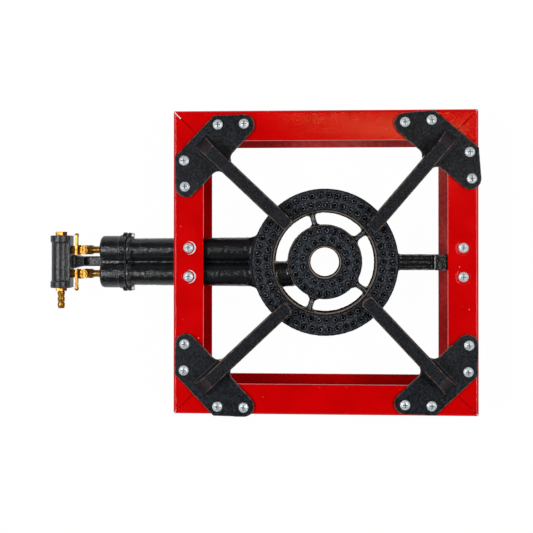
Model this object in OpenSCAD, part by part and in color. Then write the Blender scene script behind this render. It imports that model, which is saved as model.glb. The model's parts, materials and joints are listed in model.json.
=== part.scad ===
// Low outdoor gas stove with a double ring burner, in millimetres.
// X runs along the feed tubes, from the manifold towards the burner. Z is up.
// The origin is on the floor, under the middle of the whole stove.

/* [Frame] */
// Outer side of the square frame
frame_w = 400; // [390:1:430]
// Height of the frame
frame_h = 90; // [86:1:110]
// Width of the top and bottom flanges
flange_w = 40; // [38:1:46]
// Thickness of the folded sheet
sheet_t = 2.5; // [2:0.1:3]
// Outer radius of the folds
fold_r = 4; // [3.5:0.5:6]
// Width of the slit left at each mitre
mitre_gap = 0.8; // [0.4:0.1:1.2]
// Size of the weld bead in each corner
weld_r = 4; // [3:0.5:6]
// Radius of the dished seat round each burner screw
dish_r = 10.5; // [9:0.5:12]
// Depth of the dished seat
dish_d = 1; // [0.5:0.1:1.5]
// Free space round the feed tubes in the window
window_fit = 3; // [2:0.5:4]
// Corner radius of the window
window_r = 8; // [4:0.5:12]

/* [Pan supports] */
// Thickness of the corner plate
plate_t = 5; // [4:0.5:8]
// Metal outside the line of the screws
plate_margin = 12.5; // [10:0.5:14]
// Radius of the lobe at each end of the plate
lobe_r = 14; // [12:0.5:16]
// Screws' distance from the frame's edge
screw_inset = 14.6; // [14:0.2:18]
// First screw's distance from the frame's corner
screw_first = 60.3; // [56:0.5:66]
// Distance between the two screws of one side
screw_pitch = 34.4; // [30:0.2:40]
// Height of the arms above the frame
arm_rise = 32; // [28:0.5:40]
// Height of the arm's own section
arm_h = 15; // [10:0.5:18]
// Width of the arm along its top
arm_w = 16.5; // [12:0.5:20]
// How much wider the arm is at the plate
arm_draft = 3.5; // [1:0.5:6]
// Distance of each arm's end from the burner's axis
arm_tip = 70; // [60:1:80]
// Corner radius of the arm's end
arm_tip_r = 8; // [4:0.5:9]
// Flat left between the plate's outer edge and the ramp
ramp_gap = 10.4; // [4:0.2:14]
// Run of the ramp up to the arm's top
ramp_run = 21; // [12:0.5:30]
// Radius where the arm's sides leave the plate
root_r = 10; // [6:0.5:14]
// How far a support may sit off its nominal place
support_play = 5; // [0:0.5:5]

/* [Burner] */
// Outer radius of the outer ring's top
ring_r = 96.2; // [90:0.2:98]
// Radius of the opening inside the outer ring, at its top
ring_in_r = 68.5; // [67:0.5:70]
// Outer radius of the centre ring's top
hub_r = 48; // [47:0.5:50]
// Radius of the hole in the centre ring, at its top
hub_in_r = 21.6; // [18:0.2:22]
// How far each wall of the rings slants out from its top to its foot
ring_draft = 2.6; // [1:0.2:3.2]
// Height of both rings
ring_h = 36; // [32:0.5:42]
// How far the rings stand above the frame
ring_rise = 2; // [0:0.5:6]
// Wall of the rings and tubes
cast_wall = 5; // [4:0.25:5.5]
// Rounding of the rings' edges
ring_edge_r = 2.5; // [1:0.25:3]
// Width of the ribs between the rings
rib_w = 7; // [5:0.5:9]
// Height of the ribs, up to their round top
rib_h = 20; // [14:0.5:24]
// Radius of the fillets at the ribs' ends
rib_fillet_r = 4; // [1:0.5:6]
// Radius of a port boss at its foot
boss_r = 3.9; // [3:0.1:4.2]
// Radius of a port boss at its top
boss_top_r = 2.9; // [2.3:0.1:3]
// Height of a port boss
boss_h = 1.6; // [0.8:0.1:2.4]
// Radius of a gas port
port_r = 1.1; // [0.6:0.1:1.4]
// Radius of the dimple at a port's mouth
dimple_r = 1.9; // [1.7:0.1:2.1]
// Depth of the dimple
dimple_d = 0.8; // [0.4:0.1:1.2]
// Width of the support bar
bar_w = 21; // [18:0.5:26]
// Thickness of the support bar
bar_t = 6; // [4:0.5:8]
// Depth of the support bar's top below the frame's top
bar_drop = 16; // [14:0.5:20]
// Radius of the rib along the support bar
bar_rib_r = 3.2; // [2:0.2:4]
// Width of the rims along the support bar
bar_rim_w = 1.8; // [1:0.2:3]
// Height of the rims along the support bar
bar_rim_h = 2.2; // [1:0.2:3]
// Length of the thick end of the bar inside the flange
bar_block_l = 17; // [10:1:30]
// Length of the lug under a flange, along the burner
lug_l = 24; // [20:1:30]
// Width of the lug under a flange
lug_w = 58; // [52:1:64]
// Thickness of the right lug
lug_t = 10; // [8:0.5:12]
// Distance between the two burner screws of one lug
lug_pitch = 38; // [34:0.5:40]

/* [Feed tubes] */
// Distance between the two tubes
feed_pitch = 32; // [31.5:0.25:34]
// Depth of the tubes' axis below the frame's top
feed_drop = 24; // [23.5:0.5:27]
// How far the tubes reach out of the frame
feed_out = 60; // [50:1:80]
// Radius of the tubes at their flange
tube_r = 15.5; // [15.5:0.1:15.7]
// Radius of the tubes at the burner
tube_ring_r = 17; // [16.5:0.1:17.5]
// Radius of the tubes' bore
tube_bore_r = 11; // [9:0.25:11.5]
// Radius of the fillet between the tubes and the ring
tube_fillet_r = 14; // [6:1:20]
// Half thickness of the web between the tubes
web_t = 1.5; // [1:0.1:2]
// Height of the web's edge above the tubes' axis
web_h = 6.5; // [5:0.5:8]

/* [Mouthpiece] */
// Thickness of each joint flange
joint_t = 6; // [5:0.5:8]
// Radius of the joint flange round each tube
joint_r = 17.5; // [17:0.25:19]
// Radius of the ears of the joint flange
ear_r = 4.4; // [4:0.1:5]
// Distance of each ear's screw from the nearest tube's axis
ear_out = 19.3; // [19.3:0.1:20.5]
// Length of the mouths ahead of their flange
mouth_l = 29; // [24:0.5:36]
// Outer radius of each mouth
mouth_r = 19; // [18:0.25:19.5]
// Radius of each air opening
mouth_in_r = 14.5; // [13:0.25:15]
// Rounding of the mouths' front edge
mouth_edge_r = 4; // [1:0.25:4.25]
// Width of the raised ring between the mouths and their flange
collar_w = 3.2; // [2:0.2:5]
// Height of the raised ring
collar_h = 0.9; // [0.4:0.1:1.5]
// Depth of the fixing lug below the mouths' axis
foot_drop = 20; // [19.5:0.5:24]

/* [Manifold] */
// Free length between the mouths and the manifold's flat face
feed_gap = 41.6; // [38:0.5:50]
// Length of the manifold
man_l = 71; // [66:1:80]
// Radius of the manifold's barrel
man_r = 12.8; // [11.5:0.1:13.5]
// Radius of the band at each end
band_r = 14.3; // [13.8:0.1:15]
// Length of the band at each end
band_l = 9; // [6:0.5:12]
// Distance from the manifold's axis to its flat face
pad_out = 14.7; // [14.4:0.1:16]
// Height of the flat face
pad_h = 17; // [15:0.5:19]
// Radius of the gas way in the manifold
man_bore_r = 6.5; // [5:0.1:7]
// Width of the manifold's arm
tongue_w = 13.7; // [11:0.5:15]
// Thickness of the manifold's arm
tongue_t = 10; // [8:0.5:12]
// Width of the arm's foot at the manifold
heel_w = 19.6; // [15:0.5:18]
// Length of the arm's foot along the arm
heel_l = 13.5; // [8:0.5:16]

/* [Hose nozzle and plug] */
// Width across the flats of the nozzle's collar
nozzle_af = 13.5; // [12:0.5:16]
// Thickness of the nozzle's collar
nozzle_collar_t = 4.2; // [3:0.2:6]
// Length of the nozzle beyond its collar
nozzle_l = 23.4; // [20:0.2:30]
// Radius of the nozzle between its barbs
nozzle_r = 4.1; // [3.6:0.1:4.4]
// Radius of the nozzle's barbs
barb_r = 5; // [4.6:0.1:5.6]
// Length of the even land on each barb
barb_land = 2.4; // [1.5:0.1:3]
// Radius of the nozzle's bore
nozzle_bore_r = 2.6; // [1.5:0.1:3]
// Width across the flats of the blanking plug
plug_af = 14; // [12:0.5:17]
// Thickness of the blanking plug's head
plug_t = 5; // [3:0.5:7]
// Depth of the threaded ends in the manifold
thread_l = 8; // [6:0.5:10]

/* [Taps] */
// Distance from the manifold's flat face to the tap's plug
tap_reach = 18.3; // [17.5:0.1:20]
// Radius of the tap's body
tap_r = 6.25; // [5.8:0.05:6.5]
// Height of the tap's body above the gas way
tap_up = 8; // [7:0.5:9]
// Depth of the tap's body below the gas way
tap_down = 10; // [8:0.5:12]
// Radius of the tap's inlet thread
inlet_r = 4.8; // [4:0.1:5]
// Width across the flats of the tap's inlet collar
inlet_af = 11; // [10:0.1:11.4]
// Length of the tap's inlet collar
inlet_l = 5.8; // [4:0.2:7]
// Radius of the gas way in the tap
gas_r = 2; // [1:0.1:2.2]
// Radius of the tapered plug at the body's top
cone_r = 4.3; // [4:0.05:4.5]
// Radius of the tapered plug at the body's bottom
cone_end_r = 3.5; // [3.2:0.05:3.6]
// Radius of the plug's threaded tail
tail_r = 2.5; // [2:0.1:2.8]
// Length of the plug's threaded tail below the body
tail_l = 6.5; // [6:0.25:9]
// Width across the flats of the nut on the tail
tail_af = 8; // [7:0.1:9]
// Height of the nut on the tail
tail_nut_h = 3.5; // [2.5:0.1:4]
// Thickness of the disc spring over that nut
disc_t = 0.8; // [0.5:0.05:1]
// Radius of the pin that stops the lever
stop_r = 0.8; // [0.5:0.05:0.85]
// Distance of the stop pin from the plug's axis
stop_out = 5.3; // [5.3:0.05:5.4]
// Thickness of the lever's eye
eye_t = 3; // [2:0.25:4]
// Radius of the lever's eye
eye_r = 6.2; // [5.6:0.1:6.6]
// Thickness of the lever's bar
lever_t = 3.1; // [2.4:0.1:3.4]
// Height of the lever's bar
lever_h = 6; // [4:0.25:7]
// Distance of the bar's near side from the plug's axis
lever_off = 5.2; // [5:0.1:5.8]
// Top of the lever above the gas way
lever_top = 20; // [19:0.25:22]
// Length of the lever beyond the plug's axis
lever_reach = 22.5; // [18:0.5:22.5]
// Length of the lever behind the plug's axis
lever_back = 6.5; // [5:0.25:7]
// Radius of the lever's end
knob_r = 2.9; // [2:0.1:3.2]
// Width across the flats of the injector
jet_af = 12.5; // [10:0.1:12.5]
// Length of the injector's hexagon
jet_hex_l = 4.3; // [3:0.1:6]
// Radius of the injector's stem
jet_r = 4.8; // [4.4:0.1:5]
// How far the injector reaches into the mouth
jet_in = 5; // [3:0.5:7]
// Radius of the injector's orifice
orifice_r = 0.6; // [0.3:0.05:0.9]

/* [Screws] */
// Radius of the M6 screws
m6_r = 3; // [2.9:0.05:3.05]
// Radius of the pan heads
head_r = 6.5; // [5.5:0.1:6.8]
// Height of the pan heads
head_h = 3.4; // [2.8:0.1:4]
// Height of the pan heads' straight rim
head_rim = 1.2; // [0.8:0.1:1.6]
// Length of the cross recess
cross_l = 6.4; // [5:0.2:7]
// Width of the cross recess
cross_w = 1.3; // [1:0.1:1.6]
// Depth of the cross recess
cross_d = 1.8; // [1:0.1:2.2]
// Length of the pan supports' screws
support_screw_l = 16; // [16:1:25]
// Length of the burner's screws
burner_screw_l = 10; // [8:0.5:10]
// Width across the flats of the M6 nuts and heads
m6_af = 10; // [9.5:0.1:10.5]
// Height of the M6 nuts
m6_nut_h = 5; // [4:0.1:6]
// Height of the M6 hexagon head
m6_head_h = 4; // [3.5:0.1:5]
// Thickness of the washers
washer_t = 1.6; // [1:0.1:2]
// Outer radius of the washers
washer_r = 6; // [5.8:0.1:7]
// Radius of the M4 screws
m4_r = 2; // [1.8:0.05:2.1]
// Radius of the M4 heads
m4_head_r = 3.5; // [3:0.1:3.6]
// Height of the M4 heads
m4_head_h = 3; // [2.4:0.1:4]
// Length of the M4 screws
m4_l = 10; // [9:0.5:11]
// Radius of the levers' screws
m3_r = 1.5; // [1.3:0.05:1.6]
// Head radius of the levers' screws
m3_head_r = 4.6; // [3:0.1:4.6]
// Head height of the levers' screws
m3_head_h = 1.9; // [1.5:0.1:2]
// Slot width of the levers' screws
slot_w = 1; // [0.8:0.1:1.4]
// Slot depth of the levers' screws
slot_d = 0.9; // [0.5:0.1:1]
// Shank length of the levers' screws
m3_l = 8; // [6:0.5:9]
// Free space round a screw in its thread
thread_fit = 0.05; // [0.02:0.01:0.1]
// Free space round a screw in a plain hole
hole_fit = 0.3; // [0.2:0.05:0.5]

/* [Hidden] */
$fn = 64;

// Colours of the finishes
red_paint = "#c8040c";
black_enamel = "#34383d";
raw_iron = "#3f4145";
zinc = "#c9ccd0";
golden_brass = "#d3a24a";

// Overrun of every cut past the face that it opens
over = 0.5;
// Clearance between a tap's plug and its body
plug_fit = 0.05;
// Gap under the tap's moving pieces
turn_gap = 0.1;

// Positions of the four corners: front left, front right, rear right, rear left
CORNERS = [0, 1, 2, 3];
// Turn of each support about its own plate, as fitted
support_turns = [-1.7, -1.7, 4.4, 1.6];
// Offset of each support, as fitted, along and in from the frame's edge
support_shares = [[-0.04, -0.61], [-0.15, 0.13], [-0.19, -0.2], [1.02, 0.05]];

// Levels and places along the feed line, measured from the burner's axis
mitre_cut = mitre_gap / sqrt(2);
ring_top = frame_h + ring_rise;
ring_bottom = ring_top - ring_h;
feed_z = frame_h - feed_drop;
feed_y = feed_pitch / 2;
joint_x = -frame_w / 2 - feed_out;
mouth_x = joint_x - 2 * joint_t - mouth_l;
pad_x = mouth_x - feed_gap;
man_x = pad_x - pad_out;
tap_x = pad_x + tap_reach;
screw_x = (frame_w - flange_w) / 2;
// The stove's middle lies halfway between the manifold's bands and the frame
origin_x = (band_r - man_x - frame_w / 2) / 2;

module ring_2d(outer, inner) {
    difference() {
        circle(outer);
        circle(inner);
    }
}

// Rectangle from the origin with four round corners
module round_rect(w, h, r) {
    translate([r, 0]) square([w - 2 * r, h]);
    translate([0, r]) square([w, h - 2 * r]);
    for (x = [r, w - r], y = [r, h - r])
        translate([x, y]) circle(r);
}

// Hexagonal prism on the XY plane
module hexagon(af, h) {
    cylinder(h = h, r = af / sqrt(3), $fn = 6);
}

// Turns a shape built along +Z to run along +X
module along_x() {
    rotate([0, 90, 0]) children();
}

// Turns a shape built along +Z to run along -Y
module along_minus_y() {
    rotate([90, 0, 0]) children();
}

// Moves everything from the burner's axis to the stove's origin
module placed() {
    translate([origin_x, 0, 0]) children();
}

/* Frame */

module channel_2d(w, h, r) {
    translate([r, 0]) square([w - r, h]);
    translate([0, r]) square([r, h - 2 * r]);
    for (y = [r, h - r])
        translate([r, y]) circle(r);
}

module rail_2d() {
    difference() {
        channel_2d(flange_w, frame_h, fold_r);
        translate([sheet_t, sheet_t])
            channel_2d(flange_w, frame_h - 2 * sheet_t, fold_r - sheet_t);
    }
}

// Plan of the front rail between its two mitres
module mitre_2d() {
    outer = frame_w / 2 + over;
    inner = frame_w / 2 - flange_w - over;
    polygon([
        [mitre_cut - outer, -outer],
        [outer - mitre_cut, -outer],
        [inner - mitre_cut, -inner],
        [mitre_cut - inner, -inner]
    ]);
}

module plain_rail() {
    intersection() {
        translate([-frame_w / 2, -frame_w / 2, 0])
            rotate([90, 0, 90]) linear_extrude(frame_w) rail_2d();
        translate([0, 0, -over])
            linear_extrude(frame_h + 2 * over) mitre_2d();
    }
}

// Dished seat pressed into the flange round one burner screw
module dish(top, foot_share) {
    translate([0, 0, top - dish_d])
        cylinder(h = dish_d, r1 = dish_r * foot_share, r2 = dish_r);
}

module at_burner_screws(side) {
    for (y = [-lug_pitch / 2, lug_pitch / 2])
        translate([side * screw_x, y, 0]) children();
}

module burner_side_rail(side) {
    dish_foot_share = 0.76;
    difference() {
        union() {
            rotate([0, 0, side * 90]) plain_rail();
            at_burner_screws(side) dish(frame_h - sheet_t, dish_foot_share);
        }
        at_burner_screws(side) {
            dish(frame_h, dish_foot_share);
            translate([0, 0, frame_h - sheet_t - dish_d - over])
                cylinder(h = sheet_t + dish_d + 2 * over, r = m6_r + hole_fit);
            translate([0, 0, frame_h]) cylinder(h = over, r = dish_r);
        }
        support_holes(frame_h - sheet_t - over, sheet_t + 2 * over);
    }
}

module cross_rail(turn) {
    difference() {
        rotate([0, 0, turn]) plain_rail();
        support_holes(frame_h - sheet_t - over, sheet_t + 2 * over);
    }
}

module window() {
    half = feed_y + tube_ring_r + window_fit;
    low = feed_z - tube_ring_r - window_fit;
    high = feed_z + tube_r + window_fit;
    translate([-frame_w / 2 - over, -half, low])
        rotate([90, 0, 90]) linear_extrude(sheet_t + 2 * over)
            round_rect(2 * half, high - low, window_r);
}

module frame_rail_front() {
    color(red_paint) placed() cross_rail(0);
}

module frame_rail_right() {
    color(red_paint) placed() burner_side_rail(1);
}

module frame_rail_rear() {
    color(red_paint) placed() cross_rail(180);
}

module frame_rail_left() {
    color(red_paint) placed() difference() {
        burner_side_rail(-1);
        window();
    }
}

module corner_welds() {
    seat = frame_w / 2 - sheet_t;
    color(red_paint) placed()
        for (i = CORNERS)
            rotate([0, 0, 90 * i]) translate([-seat, -seat, fold_r])
                linear_extrude(frame_h - 2 * fold_r) intersection() {
                    circle(weld_r);
                    square(weld_r);
                }
}

/* Pan supports */

lobe_at = [screw_first + screw_pitch, screw_inset + lobe_r - plate_margin];
plate_edge = screw_inset - plate_margin;
plate_mid = (screw_first + screw_pitch / 2 + screw_inset) / 2;
// Distances from the frame's corner along the diagonal
chamfer_s = (screw_first + screw_inset) / sqrt(2) - plate_margin;
inner_s = (lobe_at[0] + lobe_at[1]) / sqrt(2) + lobe_r;
ramp_s = chamfer_s + ramp_gap;
tip_s = frame_w / sqrt(2) - arm_tip;
haunch_r = arm_rise - arm_h;

SCREW_PLACES = [
    [screw_first, screw_inset], [screw_first + screw_pitch, screw_inset],
    [screw_inset, screw_first], [screw_inset, screw_first + screw_pitch]
];

// Puts a support's pieces at corner i, on top of the frame, as fitted there
module at_corner(i) {
    rotate([0, 0, 90 * i])
        translate([plate_mid - frame_w / 2, plate_mid - frame_w / 2, frame_h])
            translate(support_play * support_shares[i])
                rotate([0, 0, support_turns[i]])
                    translate([-plate_mid, -plate_mid, 0]) children();
}

module at_support_screws() {
    for (i = CORNERS)
        at_corner(i)
            for (p = SCREW_PLACES)
                translate(p) children();
}

module support_holes(z, h) {
    at_support_screws() translate([0, 0, z - frame_h])
        cylinder(h = h, r = m6_r + hole_fit);
}

module plate_2d() {
    chamfer = chamfer_s * sqrt(2) - plate_edge;
    tangent = lobe_r / sqrt(2);
    polygon([
        [chamfer, plate_edge],
        [lobe_at[0], plate_edge],
        [lobe_at[0] + tangent, lobe_at[1] + tangent],
        [lobe_at[1] + tangent, lobe_at[0] + tangent],
        [plate_edge, lobe_at[0]],
        [plate_edge, chamfer]
    ]);
    translate(lobe_at) circle(lobe_r);
    translate([lobe_at[1], lobe_at[0]]) circle(lobe_r);
    // Fillets from the inner edge into the sides of the arm
    for (side = [0, 1])
        rotate(45) mirror([0, side]) translate([inner_s - over, arm_w / 2 + arm_draft / 4])
            difference() {
                square([root_r + over, root_r]);
                translate([root_r + over, root_r]) circle(root_r);
            }
}

// Side view of the arm, along the diagonal
module arm_side_2d() {
    // The ramp's line runs on down through the plate
    ramp_in_plate = ramp_run * plate_t / (arm_rise - plate_t);
    difference() {
        polygon([
            [ramp_s - ramp_in_plate, 0],
            [ramp_s + ramp_run, arm_rise], [tip_s, arm_rise],
            [tip_s, haunch_r], [inner_s + haunch_r, haunch_r],
            [inner_s + haunch_r, 0]
        ]);
        translate([inner_s + haunch_r, 0]) circle(haunch_r);
    }
}

module arm() {
    foot = arm_w + arm_draft;
    plan_w = foot + 2 * over;
    intersection() {
        translate([0, foot / 2, 0])
            rotate([90, 0, 0]) linear_extrude(foot) arm_side_2d();
        rotate([90, 0, 90]) linear_extrude(tip_s + over)
            polygon([
                [-foot / 2, 0], [foot / 2, 0],
                [arm_w / 2, arm_rise], [-arm_w / 2, arm_rise]
            ]);
        translate([0, -plan_w / 2, -over]) linear_extrude(arm_rise + 2 * over)
            round_rect(tip_s, plan_w, arm_tip_r);
    }
}

module pan_support(i) {
    color(black_enamel) placed() at_corner(i) difference() {
        union() {
            linear_extrude(plate_t) plate_2d();
            rotate([0, 0, 45]) arm();
        }
        for (p = SCREW_PLACES)
            translate([p[0], p[1], -over])
                cylinder(h = plate_t + 2 * over, r = m6_r + hole_fit);
    }
}

/* Screws, washers and nuts */

// Pan head screw with a cross recess, its head on the XY plane
module pan_screw(l) {
    dome = head_h - head_rim;
    dome_r = (head_r * head_r + dome * dome) / (2 * dome);
    difference() {
        intersection() {
            cylinder(h = head_h, r = head_r);
            translate([0, 0, head_h - dome_r]) sphere(dome_r);
        }
        for (turn = [0, 90])
            rotate([0, 0, turn]) translate([-cross_l / 2, -cross_w / 2, head_h - cross_d])
                cube([cross_l, cross_w, cross_d + over]);
    }
    translate([0, 0, -l]) cylinder(h = l, r = m6_r);
}

module hex_screw(af, head, r, l) {
    intersection() {
        hexagon(af, head);
        cylinder(h = head, r1 = af * 0.6, r2 = af * 0.53);
    }
    translate([0, 0, -l]) cylinder(h = l, r = r);
}

// Screw with a straight slot, its head on the XY plane
module slot_screw(head_radius, head_height, r, l) {
    difference() {
        cylinder(h = head_height, r = head_radius);
        translate([-slot_w / 2, -head_radius - over, head_height - slot_d])
            cube([slot_w, 2 * (head_radius + over), slot_d + over]);
    }
    translate([0, 0, -l]) cylinder(h = l, r = r);
}

// Nut hanging down from the XY plane
module nut(af, h, r) {
    translate([0, 0, -h]) difference() {
        intersection() {
            hexagon(af, h);
            cylinder(h = h, r1 = af * 0.53, r2 = af * 0.6);
        }
        translate([0, 0, -over]) cylinder(h = h + 2 * over, r = r + thread_fit);
    }
}

module pan_support_screws() {
    color(zinc) placed() at_support_screws()
        translate([0, 0, plate_t]) pan_screw(support_screw_l);
}

module pan_support_washers() {
    color(zinc) placed() at_support_screws()
        translate([0, 0, -sheet_t - washer_t])
            linear_extrude(washer_t) ring_2d(washer_r, m6_r + hole_fit);
}

module pan_support_nuts() {
    color(zinc) placed() at_support_screws()
        translate([0, 0, -sheet_t - washer_t]) nut(m6_af, m6_nut_h, m6_r);
}

module burner_screws() {
    color(zinc) placed()
        for (side = [-1, 1])
            at_burner_screws(side)
                translate([0, 0, frame_h - dish_d]) pan_screw(burner_screw_l);
}

/* Burner casting */

// Rows of ports: radius as a share of the ring's width, and number of ports
RING_ROWS = [[0.715, 50], [0.271, 45]];
HUB_ROWS = [[0.754, 25], [0.28, 15]];
rib_turns = [105, 37, -35, -108.5];

module at_ports(inner, outer, rows) {
    for (row = rows)
        for (k = [0 : row[1] - 1])
            rotate([0, 0, 360 * k / row[1]])
                translate([inner + (outer - inner) * row[0], 0, ring_top]) children();
}

module at_all_ports() {
    at_ports(ring_in_r, ring_r, RING_ROWS) children();
    at_ports(hub_in_r, hub_r, HUB_ROWS) children();
}

// One half of a ring's section, from its middle to a slanted wall with a round top edge
module ring_half_2d(half_w) {
    slope = ring_draft / ring_h;
    stretch = sqrt(1 + slope * slope);
    // Centre of the round edge, and where it meets the wall
    x = half_w - ring_edge_r * (stretch - slope);
    z = ring_h - ring_edge_r;
    polygon([
        [0, 0],
        [half_w + ring_draft, 0],
        [x + ring_edge_r / stretch, z + ring_edge_r * slope / stretch],
        [x, z],
        [x, ring_h],
        [0, ring_h]
    ]);
    translate([x, z]) circle(ring_edge_r);
}

module ring_body(inner, outer) {
    rotate_extrude() translate([(inner + outer) / 2, ring_bottom])
        for (m = [0, 1])
            mirror([m, 0]) ring_half_2d((outer - inner) / 2);
}

module ring_chamber(inner, outer) {
    rotate_extrude() translate([inner + cast_wall, ring_bottom + cast_wall])
        square([outer - inner - 2 * cast_wall, ring_h - 2 * cast_wall]);
}

// One feed tube, from its flange to the distance stop before the burner's axis
module tube(y, stop) {
    taper_l = -joint_x - ring_r;
    end_l = tube_ring_r / 2;
    translate([joint_x, y, feed_z]) along_x()
        cylinder(h = taper_l, r1 = tube_r, r2 = tube_ring_r);
    translate([-ring_r, y, feed_z]) along_x()
        cylinder(h = ring_r - stop - end_l, r = tube_ring_r);
    translate([-stop - end_l, y, feed_z]) along_x()
        cylinder(h = end_l, r1 = tube_ring_r, r2 = tube_bore_r);
}

module tube_bore(y, stop) {
    translate([joint_x - over, y, feed_z]) along_x()
        cylinder(h = -joint_x - stop + over, r = tube_bore_r);
}

// Plan of the fillets between a rib along X and a ring's wall, rooted at the radius root.
// Their circles lie at the radius centre.
module rib_fillet_2d(centre, root) {
    y = rib_w / 2 + rib_fillet_r;
    x = sqrt(centre * centre - y * y);
    for (m = [0, 1])
        mirror([0, m]) difference() {
            polygon([[x, 0], [x, y], [x, y] * root / centre, [root, 0]]);
            translate([x, y]) circle(rib_fillet_r);
        }
}

module rib(turn) {
    inner = hub_r - cast_wall;
    length = ring_in_r + cast_wall - inner;
    low = ring_bottom + cast_wall;
    rotate([0, 0, turn]) {
        translate([0, 0, low]) linear_extrude(rib_h) {
            rib_fillet_2d(ring_in_r - ring_draft - rib_fillet_r, ring_in_r + cast_wall / 2);
            rib_fillet_2d(hub_r + ring_draft + rib_fillet_r, hub_r - cast_wall / 2);
        }
        translate([inner, -rib_w / 2, low]) cube([length, rib_w, rib_h]);
        translate([inner, 0, low + rib_h]) along_x()
            cylinder(h = length, r = rib_w / 2);
    }
}

// Plan of the fillets between the tubes and the outer ring
module tube_fillet_2d() {
    side = feed_y + tube_ring_r;
    // Centre of the fillet's circle, touching both the tube and the ring
    y = side + tube_fillet_r;
    x = -sqrt(pow(ring_r + tube_fillet_r, 2) - y * y);
    touch = ring_r / (ring_r + tube_fillet_r);
    root = -(ring_r + ring_in_r) / 2;
    for (m = [0, 1])
        mirror([0, m]) difference() {
            polygon([[x, feed_y], [x, side], [x, y], [x * touch, y * touch], [root, side]]);
            translate([x, y]) circle(tube_fillet_r);
        }
}

// Joint flange in the YZ plane, with an ear for a screw at each end
module joint_2d() {
    ear_y = feed_y + ear_out;
    for (y = [-feed_y, feed_y])
        translate([y, 0]) circle(joint_r);
    square([2 * feed_y, 2 * web_h], center = true);
    square([2 * ear_y, 2 * ear_r], center = true);
    for (y = [-ear_y, ear_y])
        translate([y, 0]) circle(ear_r);
}

module joint_flange(x) {
    translate([x, 0, feed_z]) rotate([90, 0, 90]) linear_extrude(joint_t) joint_2d();
}

module at_ears(x) {
    for (side = [-1, 1])
        translate([x, side * (feed_y + ear_out), feed_z]) along_x() children();
}

module support_bar() {
    top = frame_h - bar_drop;
    lug_x = screw_x - lug_l / 2;
    block_x = frame_w / 2 - flange_w - bar_block_l;
    start = ring_r - cast_wall;
    lug_top = frame_h - sheet_t - dish_d;
    translate([start, -bar_w / 2, top - bar_t]) cube([lug_x - start, bar_w, bar_t]);
    translate([start, 0, top]) along_x() cylinder(h = block_x - start, r = bar_rib_r);
    for (m = [0, 1])
        mirror([0, m, 0]) translate([start, bar_w / 2 - bar_rim_w, top])
            cube([block_x - start, bar_rim_w, bar_rim_h]);
    translate([block_x, -bar_w / 2, top - bar_t])
        cube([lug_x - block_x + cast_wall, bar_w, lug_top - top + bar_t - dish_d]);
    translate([lug_x, -lug_w / 2, lug_top - lug_t]) cube([lug_l, lug_w, lug_t]);
}

module tube_lug() {
    low = feed_z + tube_r / 4;
    translate([-screw_x - lug_l / 2, -lug_w / 2, low])
        cube([lug_l, lug_w, frame_h - sheet_t - dish_d - low]);
}

module casting_outside() {
    ring_body(ring_in_r, ring_r);
    ring_body(hub_in_r, hub_r);
    for (turn = rib_turns)
        rib(turn);
    tube(feed_y, ring_in_r + cast_wall);
    tube(-feed_y, hub_r - 3 * cast_wall);
    translate([joint_x, -web_t, feed_z - web_h])
        cube([-joint_x - ring_r + cast_wall, 2 * web_t, 2 * web_h]);
    translate([0, 0, feed_z - tube_r / 2]) linear_extrude(tube_r) tube_fillet_2d();
    joint_flange(joint_x - joint_t);
    support_bar();
    tube_lug();
    at_all_ports() {
        translate([0, 0, -over]) cylinder(h = over, r = boss_r);
        cylinder(h = boss_h, r1 = boss_r, r2 = boss_top_r);
    }
}

module casting_inside() {
    // The centre ring's tube keeps its wall where it crosses the outer chamber
    difference() {
        ring_chamber(ring_in_r, ring_r);
        translate([-ring_r, -feed_y, feed_z]) along_x()
            cylinder(h = ring_r, r = tube_bore_r + cast_wall);
    }
    tube_bore(feed_y, ring_r - 2 * cast_wall);
    ring_chamber(hub_in_r, hub_r);
    tube_bore(-feed_y, hub_r - 2 * cast_wall);
    translate([joint_x - joint_t - over, 0, feed_z]) along_x()
        for (y = [-feed_y, feed_y])
            translate([0, y, 0]) cylinder(h = joint_t + 2 * over, r = tube_bore_r);
    at_all_ports() {
        translate([0, 0, -cast_wall - over])
            cylinder(h = cast_wall + boss_h + 2 * over, r = port_r);
        translate([0, 0, boss_h - dimple_d])
            cylinder(h = dimple_d, r1 = port_r, r2 = dimple_r);
    }
    for (side = [-1, 1])
        at_burner_screws(side)
            translate([0, 0, frame_h - dish_d - burner_screw_l - over])
                cylinder(h = burner_screw_l, r = m6_r + thread_fit);
    at_ears(joint_x - joint_t - over) cylinder(h = joint_t + 2 * over, r = m4_r + hole_fit);
}

module burner_casting() {
    color(raw_iron) placed() difference() {
        casting_outside();
        casting_inside();
    }
}

/* Mouthpiece */

module mouth_outside() {
    length = mouth_l + joint_t;
    rotate_extrude() {
        square([mouth_r - mouth_edge_r, length]);
        translate([0, mouth_edge_r]) square([mouth_r, length - mouth_edge_r]);
        translate([mouth_r - mouth_edge_r, mouth_edge_r]) circle(mouth_edge_r);
        translate([0, mouth_l - collar_w]) square([mouth_r + collar_h, collar_w + over]);
    }
}

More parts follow.
